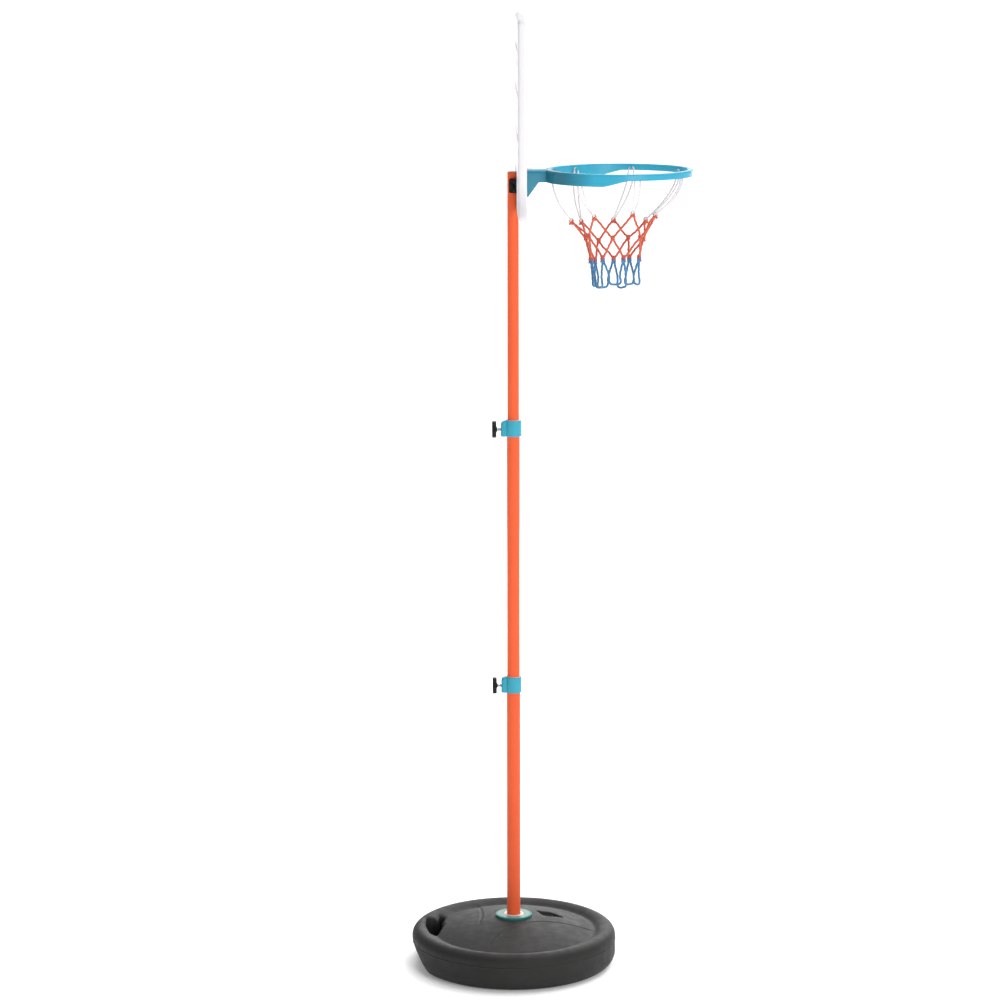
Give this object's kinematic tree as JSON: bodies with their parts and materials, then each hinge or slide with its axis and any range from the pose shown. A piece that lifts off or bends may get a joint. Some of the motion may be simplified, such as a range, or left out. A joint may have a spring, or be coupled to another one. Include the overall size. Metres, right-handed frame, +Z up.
{
  "type": "portable basketball hoop",
  "caption": "Free-standing height-adjustable hoop: fillable round base, telescoping pole with knob clamps, flat backboard, plastic rim and corded net.",
  "frame": {"origin": "centre of the base's foot ring, on the floor", "axes": "+Z up along the pole, +X from the pole out to the hoop"},
  "size_m": [0.56, 0.5, 1.905],
  "materials": {
    "tank_plastic": "moulded, fine grain",
    "teal_plastic": "moulded, satin gloss",
    "white_board": "blow-moulded, satin",
    "pale_plastic": "moulded",
    "orange_steel": "powder coated",
    "zinc_steel": "zinc plated",
    "black_steel": "black zinc",
    "black_plastic": "moulded, fine grain",
    "black_rubber": "moulded rubber",
    "nylon": "moulded nylon",
    "target_paint": "printed film",
    "white_cord": "braided cord",
    "orange_cord": "braided cord",
    "blue_cord": "braided cord"
  },
  "bodies": {
    "base": {"base_tank": "tank_plastic", "hub_flange": "teal_plastic", "base_bush": "pale_plastic", "foot_plug": "nylon", "base_bolt": "zinc_steel", "base_washer": "zinc_steel", "lower_tube": "orange_steel", "lower_collar": "teal_plastic", "lower_collar_bush": "pale_plastic", "lower_clamp_nut": "zinc_steel"},
    "filler_bung": {"filler_bung": "black_rubber"},
    "lower_pad": {"lower_clamp_pad": "nylon"},
    "lower_knob": {"lower_clamp_screw": "zinc_steel", "lower_clamp_knob": "black_plastic"},
    "middle_slider": {"middle_tube_plug": "nylon"},
    "middle_pole": {"middle_tube": "orange_steel", "upper_collar": "teal_plastic", "upper_collar_bush": "pale_plastic", "upper_clamp_nut": "zinc_steel"},
    "upper_pad": {"upper_clamp_pad": "nylon"},
    "upper_knob": {"upper_clamp_screw": "zinc_steel", "upper_clamp_knob": "black_plastic"},
    "upper_slider": {"upper_tube_plug": "nylon"},
    "head": {"upper_tube": "orange_steel", "upper_end_cap": "black_plastic", "pole_bracket": "black_plastic", "bracket_bolt": "black_steel", "bracket_nut": "black_steel", "backboard": "white_board", "target_outline": "target_paint", "rim": "teal_plastic", "rim_bolts": "black_steel", "rim_washers": "black_steel", "rim_nuts": "black_steel", "net_white": "white_cord", "net_orange": "orange_cord", "net_blue": "blue_cord"}
  },
  "joints": [
    {"name": "filler_bung_lift", "type": "slide", "parent": "base", "child": "filler_bung", "axis": [0, 0, 1], "range_m": [0, 0.03]},
    {"name": "lower_clamp_travel", "type": "slide", "parent": "base", "child": "lower_pad", "axis": [-1, 0, 0], "range_m": [0, 0.002]},
    {"name": "lower_knob_turn", "type": "hinge", "parent": "lower_pad", "child": "lower_knob", "pos_m": [-0.03, 0, 0.5752], "axis": [-1, 0, 0], "range_deg": [0, 720]},
    {"name": "middle_height", "type": "slide", "parent": "base", "child": "middle_slider", "axis": [0, 0, 1], "range_m": [-0.43, 0]},
    {"name": "middle_swivel", "type": "hinge", "parent": "middle_slider", "child": "middle_pole", "pos_m": [0, 0, 0.55], "axis": [0, 0, 1], "continuous": true},
    {"name": "upper_clamp_travel", "type": "slide", "parent": "middle_pole", "child": "upper_pad", "axis": [-1, 0, 0], "range_m": [0, 0.002]},
    {"name": "upper_knob_turn", "type": "hinge", "parent": "upper_pad", "child": "upper_knob", "pos_m": [-0.03, 0, 1.0952], "axis": [-1, 0, 0], "range_deg": [0, 720]},
    {"name": "upper_height", "type": "slide", "parent": "middle_pole", "child": "upper_slider", "axis": [0, 0, 1], "range_m": [-0.4, 0]},
    {"name": "upper_swivel", "type": "hinge", "parent": "upper_slider", "child": "head", "pos_m": [0, 0, 1.07], "axis": [0, 0, 1], "continuous": true}
  ],
  "couplings": [
    {"joint": "lower_knob_turn", "follows": "lower_clamp_travel", "rad_per_m": 6283.2},
    {"joint": "upper_knob_turn", "follows": "upper_clamp_travel", "rad_per_m": 6283.2}
  ]
}
